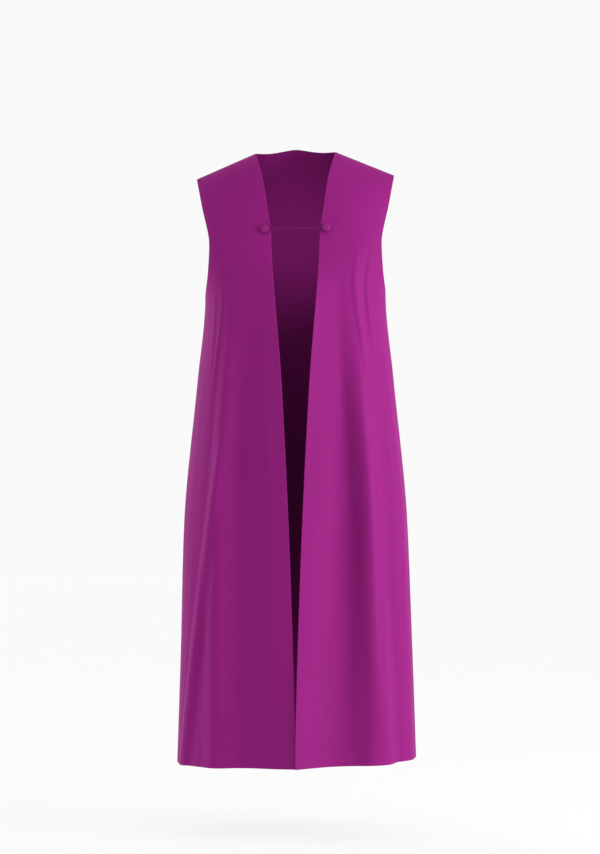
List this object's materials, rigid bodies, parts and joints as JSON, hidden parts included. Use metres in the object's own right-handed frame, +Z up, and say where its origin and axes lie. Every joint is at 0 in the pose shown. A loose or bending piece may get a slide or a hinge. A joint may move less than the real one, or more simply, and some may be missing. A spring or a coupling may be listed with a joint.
{
  "type": "chimere",
  "caption": "Long sleeveless purple bishop's over-robe, open down the front and held across the chest by a twisted cord looped round cloth-covered buttons, in its worn hollow form.",
  "frame": {"origin": "midway between the two neck points, on the line of the shoulder seams, where the wearer's shoulders hold the robe up", "axes": "+Z up, -Y out of the front of the robe, +X to the wearer's left"},
  "size_m": [0.5506, 0.44, 1.418],
  "materials": {
    "gown_cloth": "fine smooth polyester and wool gown cloth, pressed, with a soft sheen",
    "button_cloth": "the same cloth drawn tight over a domed button",
    "cord": "round twisted rayon cord, slightly glossy"
  },
  "bodies": {
    "root": {"front_left": "gown_cloth", "front_right": "gown_cloth", "back": "gown_cloth", "button_left": "button_cloth", "button_right": "button_cloth", "closure_cord": "cord"}
  },
  "joints": []
}
